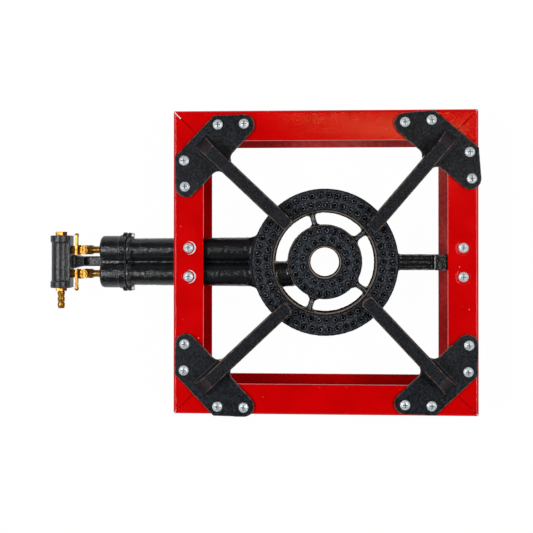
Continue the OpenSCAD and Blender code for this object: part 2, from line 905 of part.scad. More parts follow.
module mouthpiece() {
    length = mouth_l + joint_t;
    foot_l = 0.6 * mouth_l;
    color(raw_iron) placed() difference() {
        union() {
            for (y = [-feed_y, feed_y])
                translate([mouth_x, y, feed_z]) along_x() mouth_outside();
            translate([mouth_x + mouth_edge_r / 2, -web_t / 2, feed_z])
                cube([length - mouth_edge_r / 2, web_t, 2 * web_h]);
            joint_flange(joint_x - 2 * joint_t);
            translate([mouth_x + mouth_edge_r, -tongue_w / 2, feed_z - foot_drop])
                cube([foot_l, tongue_w, foot_drop - web_h]);
        }
        for (y = [-feed_y, feed_y])
            translate([mouth_x, y, feed_z]) along_x() {
                translate([0, 0, -over]) cylinder(h = length + 2 * over, r = tube_bore_r);
                cylinder(h = mouth_l, r1 = mouth_in_r, r2 = tube_bore_r);
                translate([0, 0, -over]) cylinder(h = 2 * over, r = mouth_in_r);
            }
        at_ears(joint_x - 2 * joint_t - over)
            cylinder(h = joint_t + 2 * over, r = m4_r + thread_fit);
        translate([fixing_x, 0, feed_z - foot_drop - over])
            cylinder(h = fixing_l - tongue_t + 2 * over, r = m6_r + thread_fit);
    }
}

module mouthpiece_screws() {
    color(zinc) placed() at_ears(joint_x) slot_screw(m4_head_r, m4_head_h, m4_r, m4_l);
}

/* Manifold */

// Screw from the arm up into the mouthpiece's lug
fixing_x = mouth_x + mouth_edge_r + 0.3 * mouth_l;
fixing_l = tongue_t + 0.4 * foot_drop;

// Side view of the arm and its foot, in X and Z
module tongue_2d() {
    top = feed_z - foot_drop;
    low = top - tongue_t;
    end = fixing_x + tongue_w / 2;
    polygon([
        [man_x, feed_z - man_r / 2],
        [man_x, feed_z - man_r],
        [pad_x, low],
        [end, low],
        [end, top],
        [pad_x + heel_l + tongue_t / 3, top],
        [pad_x + heel_l, top + tongue_t / 3],
        [pad_x + heel_l, feed_z - pad_h / 2],
        [pad_x, feed_z - pad_h / 3]
    ]);
}

// Plan of the arm, narrowing from its foot in two arcs and round at its end
module tongue_plan_2d() {
    heel_x = pad_x + heel_l;
    flare = (heel_w - tongue_w) / 2;
    flare_r = (flare * flare + heel_l * heel_l) / (2 * flare);
    difference() {
        translate([man_x, -heel_w / 2]) square([heel_x - man_x, heel_w]);
        for (side = [-1, 1])
            translate([heel_x, side * (tongue_w / 2 + flare_r - over / 2)]) circle(flare_r);
    }
    translate([man_x, -tongue_w / 2]) square([fixing_x - man_x, tongue_w]);
    translate([fixing_x, 0]) circle(tongue_w / 2);
}

module manifold() {
    half = man_l / 2;
    color(raw_iron) placed() difference() {
        union() {
            translate([man_x, half, feed_z]) along_minus_y() {
                cylinder(h = man_l, r = man_r);
                for (z = [0, man_l - band_l])
                    translate([0, 0, z]) cylinder(h = band_l, r = band_r);
            }
            translate([man_x, -half, feed_z - pad_h / 2]) cube([pad_out, man_l, pad_h]);
            intersection() {
                translate([0, heel_w / 2, 0])
                    rotate([90, 0, 0]) linear_extrude(heel_w) tongue_2d();
                linear_extrude(feed_z) tongue_plan_2d();
            }
        }
        translate([man_x, half + over, feed_z]) along_minus_y()
            cylinder(h = man_l + 2 * over, r = man_bore_r);
        for (y = [-feed_y, feed_y])
            translate([man_x, y, feed_z]) along_x()
                cylinder(h = pad_out + over, r = inlet_r + thread_fit);
        translate([fixing_x, 0, feed_z - foot_drop - tongue_t - over])
            cylinder(h = tongue_t + 2 * over, r = m6_r + hole_fit);
    }
}

module manifold_screw() {
    color(zinc) placed() translate([fixing_x, 0, feed_z - foot_drop - tongue_t])
        rotate([180, 0, 0]) hex_screw(m6_af, m6_head_h, m6_r, fixing_l);
}

module manifold_plug() {
    color(golden_brass) placed() translate([man_x, man_l / 2, feed_z])
        rotate([-90, 0, 0]) {
            hexagon(plug_af, plug_t);
            translate([0, 0, -thread_l]) cylinder(h = thread_l, r = man_bore_r - thread_fit);
        }
}

// Half section of one barb: a rise from the nozzle's wall and an even land
module barb_2d(rise) {
    polygon([[0, 0], [nozzle_r, 0], [barb_r, rise], [barb_r, rise + barb_land], [0, rise + barb_land]]);
}

module hose_nozzle() {
    rise = nozzle_l / 3 - barb_land - nozzle_r / 4;
    pitch = nozzle_l / 3;
    color(golden_brass) placed() translate([man_x, -man_l / 2, feed_z]) along_minus_y()
        difference() {
            union() {
                hexagon(nozzle_af, nozzle_collar_t);
                translate([0, 0, -thread_l])
                    cylinder(h = thread_l, r = man_bore_r - thread_fit);
                translate([0, 0, nozzle_collar_t]) cylinder(h = nozzle_l, r = nozzle_r);
                // Each barb rises from the tip side towards the manifold
                for (k = [1 : 3])
                    translate([0, 0, nozzle_collar_t + k * pitch])
                        mirror([0, 0, 1]) rotate_extrude() barb_2d(rise);
            }
            translate([0, 0, -thread_l - over])
                cylinder(h = thread_l + nozzle_collar_t + nozzle_l + 2 * over, r = nozzle_bore_r);
        }
}

/* Taps */

// Quarter turn from shut, across the gas way, to open, along it
lever_travel = 90;
// Place of the stop pin round the plug
stop_turn = -45;
// Levels above the gas way
collar_t = 0.45 * eye_t;
eye_z = tap_up + turn_gap + collar_t;
square_w = 1.3 * cone_r;
jet_x = tap_r;
jet_l = mouth_x + jet_in - tap_x - jet_x - jet_hex_l;

// Puts a tap's pieces on its plug's axis; side 1 feeds the outer ring, -1 the centre
module at_tap(side) {
    placed() translate([tap_x, side * feed_y, feed_z]) mirror([0, side < 0 ? 1 : 0, 0]) children();
}

// Radius of the plug's taper at a height above the gas way
function cone_at(z) = cone_end_r + (cone_r - cone_end_r) * (z + tap_down) / (tap_up + tap_down);

module tap_body(side) {
    color(golden_brass) at_tap(side) difference() {
        union() {
            translate([0, 0, -tap_down]) cylinder(h = tap_up + tap_down, r = tap_r);
            translate([-tap_reach, 0, 0]) along_x() {
                hexagon(inlet_af, inlet_l);
                cylinder(h = tap_reach, r = inlet_r);
                translate([0, 0, -pad_out / 2]) cylinder(h = pad_out / 2 + over, r = inlet_r);
            }
            along_x() cylinder(h = jet_x, r = tap_r);
            rotate([0, 0, stop_turn]) translate([stop_out, 0, 0])
                cylinder(h = tap_up + collar_t - turn_gap, r = stop_r);
        }
        translate([0, 0, -tap_down - over])
            cylinder(h = tap_up + tap_down + 2 * over,
                r1 = cone_at(-tap_down - over) + plug_fit,
                r2 = cone_at(tap_up + over) + plug_fit);
        translate([-tap_reach - pad_out / 2 - over, 0, 0]) along_x()
            cylinder(h = tap_reach + pad_out / 2 + jet_x + 2 * over, r = gas_r);
    }
}

// Cut in the plug's collar, in which the stop pin stays while the lever turns
module stop_notch() {
    half_angle = lever_travel / 2 + asin(stop_r / stop_out) + 2;
    side = tap_r * tan(half_angle);
    rotate([0, 0, stop_turn + lever_travel / 2]) translate([0, 0, tap_up])
        linear_extrude(turn_gap + collar_t + over) difference() {
            polygon([[0, 0], [tap_r, -side], [tap_r, side]]);
            circle(stop_out - stop_r - turn_gap);
        }
}

module tap_plug(side) {
    color(golden_brass) at_tap(side) difference() {
        union() {
            translate([0, 0, turn_gap - tap_down])
                cylinder(h = tap_up + tap_down - turn_gap,
                    r1 = cone_at(turn_gap - tap_down), r2 = cone_at(tap_up));
            translate([0, 0, tap_up]) cylinder(h = turn_gap, r = cone_at(tap_up));
            difference() {
                translate([0, 0, tap_up + turn_gap])
                    cylinder(h = collar_t, r = eye_r - lever_t / 4);
                stop_notch();
            }
            translate([-square_w / 2, -square_w / 2, eye_z]) cube([square_w, square_w, eye_t]);
            translate([0, 0, -tap_down - tail_l]) cylinder(h = tail_l + tail_r, r = tail_r);
        }
        // The gas way is shut at rest, when it lies across the tap
        translate([0, cone_r + over, 0]) along_minus_y()
            cylinder(h = 2 * (cone_r + over), r = gas_r);
        translate([0, 0, eye_z + eye_t - m3_l - over])
            cylinder(h = m3_l + 2 * over, r = m3_r + thread_fit);
    }
}

module tap_lever(side) {
    low = lever_top - lever_h;
    far = -lever_off - lever_t;
    color(golden_brass) at_tap(side) difference() {
        union() {
            translate([0, 0, eye_z]) cylinder(h = eye_t, r = eye_r);
            translate([far, -lever_back, eye_z]) cube([-far, 2 * lever_back, eye_t]);
            translate([far, -lever_back, eye_z])
                cube([lever_t, 2 * lever_back, lever_top - eye_z]);
            translate([far, 0, low]) cube([lever_t, lever_reach - knob_r, lever_h]);
            translate([far + lever_t / 2, lever_reach - knob_r, low + lever_h / 2])
                sphere(knob_r);
        }
        translate([-(square_w / 2 + plug_fit), -(square_w / 2 + plug_fit), eye_z - over])
            cube([square_w + 2 * plug_fit, square_w + 2 * plug_fit, eye_t + 2 * over]);
    }
}

module tap_lever_screw(side) {
    color(golden_brass) at_tap(side) translate([0, 0, eye_z + eye_t])
        slot_screw(m3_head_r, m3_head_h, m3_r, m3_l);
}

// Cupped washer that pulls the plug into its seat
module tap_disc_spring(side) {
    bore = tail_r + plug_fit;
    color(golden_brass) at_tap(side) translate([0, 0, -tap_down - turn_gap])
        rotate_extrude() polygon([
            [bore, -2 * disc_t], [tap_r, -disc_t], [tap_r, 0], [bore, -disc_t]
        ]);
}

module tap_plug_nut(side) {
    color(golden_brass) at_tap(side) translate([0, 0, -tap_down - turn_gap - 2 * disc_t])
        nut(tail_af, tail_nut_h, tail_r);
}

module injector(side) {
    color(golden_brass) at_tap(side) translate([jet_x, 0, 0]) along_x() difference() {
        union() {
            hexagon(jet_af, jet_hex_l);
            translate([0, 0, jet_hex_l]) cylinder(h = jet_l - jet_r / 2, r = jet_r);
            translate([0, 0, jet_hex_l + jet_l - jet_r / 2])
                cylinder(h = jet_r / 2, r1 = jet_r, r2 = jet_r / 2);
        }
        translate([0, 0, -over]) cylinder(h = jet_hex_l + jet_l - jet_r / 2, r = gas_r);
        cylinder(h = jet_hex_l + jet_l + over, r = orifice_r);
    }
}

frame_rail_front();
frame_rail_right();
frame_rail_rear();
frame_rail_left();
corner_welds();
pan_support(0);  // pan_support_front_left
pan_support(1);  // pan_support_front_right
pan_support(2);  // pan_support_rear_right
pan_support(3);  // pan_support_rear_left
pan_support_screws();
pan_support_washers();
pan_support_nuts();
burner_casting();
burner_screws();
mouthpiece();
mouthpiece_screws();
manifold();
manifold_screw();
manifold_plug();
hose_nozzle();
tap_body(1);  // outer_tap_body
tap_plug(1);  // outer_tap_plug
tap_lever(1);  // outer_tap_lever
tap_lever_screw(1);  // outer_tap_lever_screw
tap_disc_spring(1);  // outer_tap_disc_spring
tap_plug_nut(1);  // outer_tap_plug_nut
injector(1);  // outer_injector
tap_body(-1);  // centre_tap_body
tap_plug(-1);  // centre_tap_plug
tap_lever(-1);  // centre_tap_lever
tap_lever_screw(-1);  // centre_tap_lever_screw
tap_disc_spring(-1);  // centre_tap_disc_spring
tap_plug_nut(-1);  // centre_tap_plug_nut
injector(-1);  // centre_injector
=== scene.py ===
"""A low outdoor gas stove: castings, sheet frame and brass, their finishes, light and camera."""

import json
import math
import random

import bpy
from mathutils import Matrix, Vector, bvhtree, kdtree


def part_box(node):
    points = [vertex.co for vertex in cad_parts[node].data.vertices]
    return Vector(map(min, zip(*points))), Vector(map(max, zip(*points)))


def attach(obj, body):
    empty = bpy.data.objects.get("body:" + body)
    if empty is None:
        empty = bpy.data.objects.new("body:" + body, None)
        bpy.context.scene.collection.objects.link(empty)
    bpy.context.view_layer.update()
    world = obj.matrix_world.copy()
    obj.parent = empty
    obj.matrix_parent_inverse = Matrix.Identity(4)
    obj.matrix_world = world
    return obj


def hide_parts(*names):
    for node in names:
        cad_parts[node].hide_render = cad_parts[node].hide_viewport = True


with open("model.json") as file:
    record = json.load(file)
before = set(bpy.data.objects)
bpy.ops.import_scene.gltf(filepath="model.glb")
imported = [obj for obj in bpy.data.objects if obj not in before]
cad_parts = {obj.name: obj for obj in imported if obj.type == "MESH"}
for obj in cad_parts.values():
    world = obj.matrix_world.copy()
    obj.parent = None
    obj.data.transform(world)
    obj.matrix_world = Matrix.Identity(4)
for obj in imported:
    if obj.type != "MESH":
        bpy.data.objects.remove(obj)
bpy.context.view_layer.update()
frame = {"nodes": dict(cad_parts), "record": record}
nodes = frame["nodes"]

MM = 0.001

# ---- Places ----------------------------------------------------------------------------------

left_low, left_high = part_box("frame_rail_left")
right_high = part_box("frame_rail_right")[1]
burner_x = (left_low.x + right_high.x) / 2
frame_top = left_high.z
# The left ends of the feed tubes, where the mouthpiece is screwed on
tube_end_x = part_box("burner_casting")[0].x

# The two rings of the burner, as inner and outer radius of their tops
OUTER_RING = (68.5 * MM, 96.2 * MM)
CENTRE_RING = (21.6 * MM, 48 * MM)
RING_TOP = frame_top + 2 * MM
RING_BOTTOM = RING_TOP - 36 * MM
RING_WALL = 4 * MM
# The middle lines of the two feed tubes: their height, and how far each is from the stove's middle
FEED_Z = frame_top - 24 * MM
FEED_Y = 16 * MM
FEED_BORE_RADIUS = 12 * MM
# Each row of ports: its ring, how far across the ring it lies, from 0 to 1, and how many it has
PORT_ROWS = [
    (OUTER_RING, 0.715, 50),
    (OUTER_RING, 0.271, 45),
    (CENTRE_RING, 0.754, 25),
    (CENTRE_RING, 0.28, 15),
]
# Half sections of a port's nub and of its bore, in mm: radius, and height over the ring's top
NUB_SECTION = [(0.4, -1.2), (3.9, -1.2), (3.8, 0), (3, 1.2), (2.5, 1.5), (0.4, 1.5)]
BORE_SECTION = [(0.01, -4), (1.15, -4), (1.15, 0.6), (2.1, 1.8), (0.01, 1.8)]


# ---- Modelling helpers -----------------------------------------------------------------------


def select_only(*pieces):
    """Leaves just these pieces selected, the first of them active."""
    bpy.ops.object.select_all(action="DESELECT")
    for piece in pieces:
        piece.select_set(True)
    bpy.context.view_layer.objects.active = pieces[0]


def settle():
    """Puts the active piece's place, turn and size into its mesh."""
    bpy.ops.object.transform_apply(location=True, rotation=True, scale=True)
    return bpy.context.active_object


def apply_modifier(piece, kind, **settings):
    """Adds a modifier with its settings and applies it."""
    select_only(piece)
    modifier = piece.modifiers.new(kind.lower(), kind)
    for name, value in settings.items():
        setattr(modifier, name, value)
    bpy.ops.object.modifier_apply(modifier=modifier.name)


def add_rod(radius, start, end):
    """A round rod between the middles of its two ends."""
    start, end = Vector(start), Vector(end)
    along = end - start
    bpy.ops.object.select_all(action="DESELECT")
    bpy.ops.mesh.primitive_cone_add(
        vertices=48,
        radius1=radius,
        radius2=radius,
        depth=along.length,
        location=(start + end) / 2,
        rotation=along.to_track_quat("Z", "Y").to_euler(),
    )
    return settle()


def add_block(low, high):
    """A block between two corners."""
    low, high = Vector(low), Vector(high)
    bpy.ops.object.select_all(action="DESELECT")
    bpy.ops.mesh.primitive_cube_add(size=1, location=(low + high) / 2, scale=high - low)
    return settle()


def spin_section(section, centre, steps):
    """A ring or knob: a closed half section of (radius, height) points spun on an upright axis."""
    bpy.ops.object.select_all(action="DESELECT")
    bpy.ops.mesh.primitive_circle_add(vertices=len(section), radius=MM)
    piece = bpy.context.active_object
    for vertex, (radius, height) in zip(piece.data.vertices, section):
        vertex.co = (centre[0] + radius, centre[1], centre[2] + height)
    bpy.ops.object.mode_set(mode="EDIT")
    bpy.ops.mesh.select_all(action="SELECT")
    bpy.ops.mesh.spin(
        steps=steps, angle=2 * math.pi, center=centre, axis=(0, 0, 1), use_auto_merge=True
    )
    bpy.ops.mesh.select_all(action="SELECT")
    bpy.ops.mesh.remove_doubles(threshold=0.01 * MM)
    bpy.ops.mesh.normals_make_consistent(inside=False)
    bpy.ops.object.mode_set(mode="OBJECT")
    return piece


def join(pieces):
    """One piece made of all of these."""
    select_only(*pieces)
    bpy.ops.object.join()
    return bpy.context.active_object


def copy_of_node(node, name):
    """A new piece with a CAD node's shape, its loose triangles merged into one skin."""
    mesh = nodes[node].data.copy()
    mesh.materials.clear()
    mesh.name = name
    piece = bpy.data.objects.new(name, mesh)
    bpy.context.scene.collection.objects.link(piece)
    select_only(piece)
    bpy.ops.object.mode_set(mode="EDIT")
    bpy.ops.mesh.select_all(action="SELECT")
    bpy.ops.mesh.remove_doubles(threshold=0.002 * MM)
    bpy.ops.object.mode_set(mode="OBJECT")
    return piece


def combine(piece, other, operation):
    """Joins the other shape to the piece, or takes it out of it, and removes the other."""
    apply_modifier(piece, "BOOLEAN", operation=operation, object=other, solver="MANIFOLD")
    bpy.data.objects.remove(other)
    return piece


def cast(piece, voxel, passes):
    """The soft edges of a sand casting: one skin of even faces, its corners relaxed in passes."""
    apply_modifier(piece, "REMESH", mode="VOXEL", voxel_size=voxel, use_smooth_shade=True)
    apply_modifier(piece, "SMOOTH", factor=0.5, iterations=passes)


def roughen(piece, grain, height):
    """The rough skin that moulding sand leaves: a cloud pattern, coarse enough to show."""
    pattern = bpy.data.textures.new(f"sand_{piece.name}", "CLOUDS")
    pattern.noise_scale = grain
    pattern.noise_depth = 2
    apply_modifier(
        piece,
        "DISPLACE",
        texture=pattern,
        strength=height,
        mid_level=0.5,
        texture_coords="LOCAL",
    )


def dress(piece, *materials):
    """Gives a piece its materials; its faces wear the first unless they are told otherwise."""
    piece.data.materials.clear()
    for material in materials:
        piece.data.materials.append(material)


def fit(piece, body, slot, *replaced):
    """Seats a finished piece on its body in place of CAD nodes; the slot it is given is not used.
    """
    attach(piece, body)
    if replaced:
        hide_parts(*replaced)


# ---- Materials -------------------------------------------------------------------------------
#
# A pixel of the render covers 1.3 mm at the frame's top. The grains of cast iron are about 0.5 mm
# wide, an orange peel's waves 1 mm and zinc's crystals less, so all three are drawn 1.3 to 3 mm
# wide, to show.


def linear(hex_colour):
    """The linear colour of an sRGB hex value."""
    parts = [int(hex_colour[i : i + 2], 16) / 255 for i in (1, 3, 5)]
    return (*[c / 12.92 if c <= 0.04045 else ((c + 0.055) / 1.055) ** 2.4 for c in parts], 1)


def set_inputs(tree, node, inputs):
    """Sets inputs by name or in order: each a number, a hex colour, or a node or socket to link."""
    for key, value in inputs.items() if isinstance(inputs, dict) else enumerate(inputs):
        if isinstance(value, bpy.types.Node):
            value = next(output for output in value.outputs if output.enabled)
        if isinstance(value, bpy.types.NodeSocket):
            tree.links.new(value, node.inputs[key])
        else:
            node.inputs[key].default_value = linear(value) if isinstance(value, str) else value


def add_node(tree, kind, inputs=(), stops=(), **settings):
    """Adds a node with its settings, its inputs and, on a ramp, (position, hex colour) stops."""
    node = tree.nodes.new(f"ShaderNode{kind}")
    for name, value in settings.items():
        setattr(node, name, value)
    set_inputs(tree, node, inputs)
    if stops:
        elements = node.color_ramp.elements
        while len(elements) < len(stops):
            elements.new(0.5)
        for element, (position, colour) in zip(elements, stops):
            element.position = position
            element.color = linear(colour)
    return node


def new_material(name, inputs):
    """A new material, with its tree, its shader given these inputs, and the place on the object."""
    material = bpy.data.materials.new(name)
    material.use_nodes = True
    tree = material.node_tree
    shader = tree.nodes["Principled BSDF"]
    set_inputs(tree, shader, inputs)
    place = add_node(tree, "TexCoord").outputs["Object"]
    return material, tree, shader, place


def stoved_red_paint():
    # Gloss stoving paint over folded steel: an even strong red, a little darker where it ran thin,
    # with a few pale chips, and a painted pale pink sheen on the lower flanges towards the rear
    # right.
    # Along the outer edges that meet in that corner an orange peel breaks up its reflections into
    # flecks.
    material, tree, shader, place = new_material("stoved_red_paint", {"Specular IOR Level": 0.2})
    runs = add_node(tree, "TexNoise", {"Vector": place, "Scale": 1 / (45 * MM)})
    coat = add_node(tree, "ValToRGB", {"Fac": runs}, stops=((0.3, "#bc0002"), (0.7, "#cc0103")))
    knocks = add_node(tree, "TexNoise", {"Vector": place, "Scale": 1 / (3.5 * MM), "Detail": 1})
    chips = add_node(tree, "MapRange", (knocks, 0.79, 0.81, 0, 0.7))
    chipped = add_node(tree, "Mix", {0: chips, 6: coat, 7: "#e9b7b0"}, data_type="RGBA")

    part = add_node(tree, "SeparateXYZ", (place,)).outputs
    # Painted sheen: the lower flanges are paled in patches towards the rear right, where light
    # falls on them
    on_floor = add_node(tree, "MapRange", (part["Z"], 2 * MM, 4 * MM, 1, 0))
    diagonal = add_node(tree, "Math", (part["X"], part["Y"]), operation="ADD")
    rear_right = add_node(tree, "MapRange", (diagonal, 50 * MM, 300 * MM, 0, 0.3))
    lower_rear_right = add_node(tree, "Math", (on_floor, rear_right), operation="MULTIPLY")
    sheen_patches = add_node(tree, "TexNoise", {"Vector": place, "Scale": 1 / (5 * MM)})
    patch_tint = add_node(tree, "Math", (lower_rear_right, sheen_patches), operation="MULTIPLY")
    patch_tinted = add_node(tree, "Mix", {0: patch_tint, 6: chipped, 7: "#e8d3cf"}, data_type="RGBA")

    right_half = add_node(tree, "MapRange", (part["X"], 0, 120 * MM, 0.15, 1))
    rear_edge = add_node(tree, "MapRange", (part["Y"], 176 * MM, 192 * MM, 0.12, 1))
    right_edge = add_node(tree, "MapRange", (part["X"], 260 * MM, 276 * MM, 0, 1))
    to_corner = add_node(tree, "MapRange", (part["Y"], 100 * MM, 130 * MM, 0, 1))
    side = add_node(tree, "Math", (right_edge, to_corner), operation="MULTIPLY")
    edges = add_node(tree, "Math", (rear_edge, side), operation="MAXIMUM")
    uneven = add_node(tree, "Math", (right_half, edges), operation="MULTIPLY")
    waves = add_node(tree, "TexNoise", {"Vector": place, "Scale": 1 / (2.6 * MM), "Detail": 1})
    peel = add_node(tree, "Math", (waves, uneven), operation="MULTIPLY")
    bump = add_node(tree, "Bump", {"Height": peel, "Strength": 0.6, "Distance": 0.5 * MM})
    gloss = add_node(tree, "MapRange", (runs, 0.3, 0.7, 0.12, 0.16))
    set_inputs(tree, shader, {"Base Color": patch_tinted, "Roughness": gloss, "Normal": bump})
    return material


def cast_iron_paint(name, dark, pale, worn, gloss, roughness, grit, depth):
    # Thin black paint over sand-cast iron: blue-black, with every grain of the metal showing as a
    # speck, dusty in patches 14 mm wide, and rubbed pale along its edges in patches of 6 mm.
    fixed = {"Specular IOR Level": gloss, "Roughness": roughness}
    material, tree, shader, place = new_material(name, fixed)
    fine = {"Vector": place, "Scale": 1 / grit, "Detail": 3, "Roughness": 0.65}
    specks = add_node(tree, "TexNoise", fine)
    patches = add_node(tree, "TexNoise", {"Vector": place, "Scale": 1 / (14 * MM)})
    patch_tint = add_node(tree, "MapRange", (patches, 0.3, 0.7, -0.03, 0.03))
    patch_tinted = add_node(tree, "Math", (specks, patch_tint), operation="ADD")
    coat = add_node(tree, "ValToRGB", {"Fac": patch_tinted}, stops=((0.42, dark), (0.66, pale)))

    sharpness = add_node(tree, "NewGeometry").outputs["Pointiness"]
    edges = add_node(tree, "MapRange", (sharpness, 0.513, 0.56, 0, 1))
    touches = add_node(tree, "TexNoise", {"Vector": place, "Scale": 1 / (6 * MM)})
    patchy = add_node(tree, "MapRange", (touches, 0.4, 0.6, 0.15, 1))
    pale_share = add_node(tree, "Math", (edges, patchy), operation="MULTIPLY")
    pale_marks = add_node(tree, "Mix", {0: pale_share, 6: coat, 7: worn}, data_type="RGBA")

    grains = add_node(tree, "TexNoise", {"Vector": place, "Scale": 1 / grit, "Detail": 1})
    bump = add_node(tree, "Bump", {"Height": grains, "Strength": 0.8, "Distance": depth})
    set_inputs(tree, shader, {"Base Color": pale_marks, "Normal": bump})
    return material


def burner_iron():
    # Rough sand-cast iron, its paint burnt dull: slate blue and dusty on the rings' tops, soot
    # black with painted shade round and inside the ports and along the rings' edges, and paler lips
    # on the ports, a little rubbed iron and a painted highlight.
    fixed = {"Specular IOR Level": 0.12, "Roughness": 0.5}
    material, tree, shader, place = new_material("sand_cast_burner_iron", fixed)
    fine = {"Vector": place, "Scale": 1 / (2.2 * MM), "Detail": 3, "Roughness": 0.75}
    specks = add_node(tree, "TexNoise", fine)
    skin = add_node(
        tree, "ValToRGB", {"Fac": specks}, stops=((0.43, "#050607"), (0.65, "#474d59"))
    )
    # Soot and painted shade: black round and inside each port and along the rings' edges
    soot_and_shade = add_node(tree, "Attribute", attribute_name="soot_and_shade").outputs["Fac"]
    sooty_and_shaded = add_node(tree, "Mix", {0: soot_and_shade, 6: skin, 7: "#000000"}, data_type="RGBA")
    # Paler port lips: rubbed iron and a painted highlight where the lips catch the light
    lip_rub_and_highlight = add_node(tree, "Attribute", attribute_name="pale_marks").outputs["Fac"]
    touches = add_node(tree, "TexNoise", {"Vector": place, "Scale": 1 / (3 * MM)})
    patchy = add_node(tree, "MapRange", (touches, 0.42, 0.6, 0, 1))
    pale_share = add_node(tree, "Math", (lip_rub_and_highlight, patchy), operation="MULTIPLY")
    pale_marks = add_node(tree, "Mix", {0: pale_share, 6: sooty_and_shaded, 7: "#6b7380"}, data_type="RGBA")
    bump = add_node(tree, "Bump", {"Height": specks, "Strength": 0.8, "Distance": 0.5 * MM})
    set_inputs(tree, shader, {"Base Color": pale_marks, "Normal": bump})
    return material


def burnt_iron_and_sheen():
    # The walls of the burner's openings: matt soot at top and bottom, and between them a dull,
    # beige,
    # metallic band: iron burnt bare by the flames, and in part a painted sheen.
    fixed = {"Specular IOR Level": 0.02, "Specular Tint": "#cdbfb2"}
    material, tree, shader, place = new_material("burnt_iron_and_sheen", fixed)
    fine = {"Vector": place, "Scale": 1 / (3 * MM), "Detail": 3, "Roughness": 0.6}
    specks = add_node(tree, "TexNoise", fine)
    scale = add_node(
        tree, "ValToRGB", {"Fac": specks}, stops=((0.35, "#918277"), (0.65, "#cbbaac"))
    )
    # The beige band: burnt bare iron and, in part, a painted sheen
    burnt_and_sheen = add_node(tree, "Attribute", attribute_name="burnt_and_sheen").outputs["Fac"]
    colour = add_node(tree, "Mix", {0: burnt_and_sheen, 6: "#0b0908", 7: scale}, data_type="RGBA")
    metal = add_node(tree, "MapRange", (burnt_and_sheen, 0, 1, 0, 0.8))
    dullness = add_node(tree, "MapRange", (burnt_and_sheen, 0, 1, 1, 0.55))
    set_inputs(tree, shader, {"Base Color": colour, "Metallic": metal, "Roughness": dullness})
    return material


def zinc_plate():
    # Bright zinc plating on cold-formed steel: pale and milky with crystalline flecks, and darker
    # in the recess, as dirt and as painted shade.
    material, tree, shader, place = new_material("zinc_plate", {"Metallic": 0.6})
    fine = {"Vector": place, "Scale": 1 / (1.3 * MM), "Roughness": 0.7}
    crystals = add_node(tree, "TexNoise", fine)
    plating = add_node(
        tree, "ValToRGB", {"Fac": crystals}, stops=((0.38, "#8a9499"), (0.56, "#e2ebef"))
    )
    # Dirt and painted shade: darker where more rays from a point meet the piece
    hollow = add_node(tree, "Attribute", attribute_name="hollow").outputs["Fac"]
    dirt_and_shade = add_node(tree, "MapRange", (hollow, 0.3, 0.55, 0, 1))
    with_dirt_and_shade = add_node(tree, "Mix", {0: dirt_and_shade, 6: plating, 7: "#697277"}, data_type="RGBA")
    bump = add_node(tree, "Bump", {"Height": crystals, "Strength": 0.5, "Distance": 0.15 * MM})
    gloss = add_node(tree, "MapRange", (crystals, 0.3, 0.7, 0.6, 0.4))
    set_inputs(tree, shader, {"Base Color": with_dirt_and_shade, "Roughness": gloss, "Normal": bump})
    return material


def turned_brass():
    # Brass as turned and pressed, left bare: golden, with tarnish in spots 3 mm wide, and brown in
    # the hollows, as grease and dust and as painted shade.
    material, tree, shader, place = new_material("turned_brass", {"Metallic": 1})
    tarnish = add_node(tree, "TexNoise", {"Vector": place, "Scale": 1 / (3 * MM), "Detail": 3})
    metal = add_node(
        tree, "ValToRGB", {"Fac": tarnish}, stops=((0.33, "#664712"), (0.6, "#b3843a"))
    )
    # Grease and painted shade: brown where more rays from a point meet the piece
    hollow = add_node(tree, "Attribute", attribute_name="hollow").outputs["Fac"]
    grease_and_shade = add_node(tree, "MapRange", (hollow, 0.2, 0.55, 0, 0.9))
    with_grease_and_shade = add_node(tree, "Mix", {0: grease_and_shade, 6: metal, 7: "#2c1a05"}, data_type="RGBA")
    gloss = add_node(tree, "MapRange", (tarnish, 0.3, 0.7, 0.38, 0.26))
    set_inputs(tree, shader, {"Base Color": with_grease_and_shade, "Roughness": gloss})
    return material


support_paint = cast_iron_paint(
    "matt_black_support_paint",
    dark="#010102",
    pale="#252a33",
    worn="#8a7262",
    gloss=0.14,
    roughness=0.42,
    grit=2 * MM,
    depth=0.35 * MM,
)
tube_paint = cast_iron_paint(
    "satin_black_tube_paint",
    dark="#010203",
    pale="#0d1219",
    worn="#5a5d63",
    gloss=0.5,
    roughness=0.24,
    grit=1.8 * MM,
    depth=0.5 * MM,
)
manifold_paint = cast_iron_paint(
    "satin_black_manifold_paint",
    dark="#040507",
    pale="#171d28",
    worn="#5a5d63",
    gloss=0.5,
    roughness=0.34,
    grit=1.8 * MM,
    depth=0.4 * MM,
)

# The finish and the broken edge of the pieces in each of these slots
PRESSED_AND_TURNED = {
    "red_paint": (stoved_red_paint(), 0.3 * MM),
    "zinc_steel": (zinc_plate(), 0.25 * MM),
    "brass": (turned_brass(), 0.3 * MM),
}

# ---- Camera, light and ground ----------------------------------------------------------------


def white_sweep():
    # A white studio sweep: it shows white to the lens and in the metal, and keeps a faint shadow.
    fixed = {"Base Color": "#f4f4f4", "Roughness": 0.9}
    material, tree, shader, _ = new_material("white_sweep", fixed)
    rays = add_node(tree, "LightPath").outputs
    seen = rays["Is Camera Ray"]
    for other in ("Is Glossy Ray", "Is Transmission Ray"):
        seen = add_node(tree, "Math", (seen, rays[other]), operation="MAXIMUM")
    unshaded = add_node(tree, "Math", (seen, 0.985), operation="MULTIPLY")
    white = add_node(tree, "Emission", {"Color": "#ffffff", "Strength": 1})
    mixed = add_node(tree, "MixShader", (unshaded, shader, white))
    set_inputs(tree, tree.nodes["Material Output"], {"Surface": mixed})
    return material


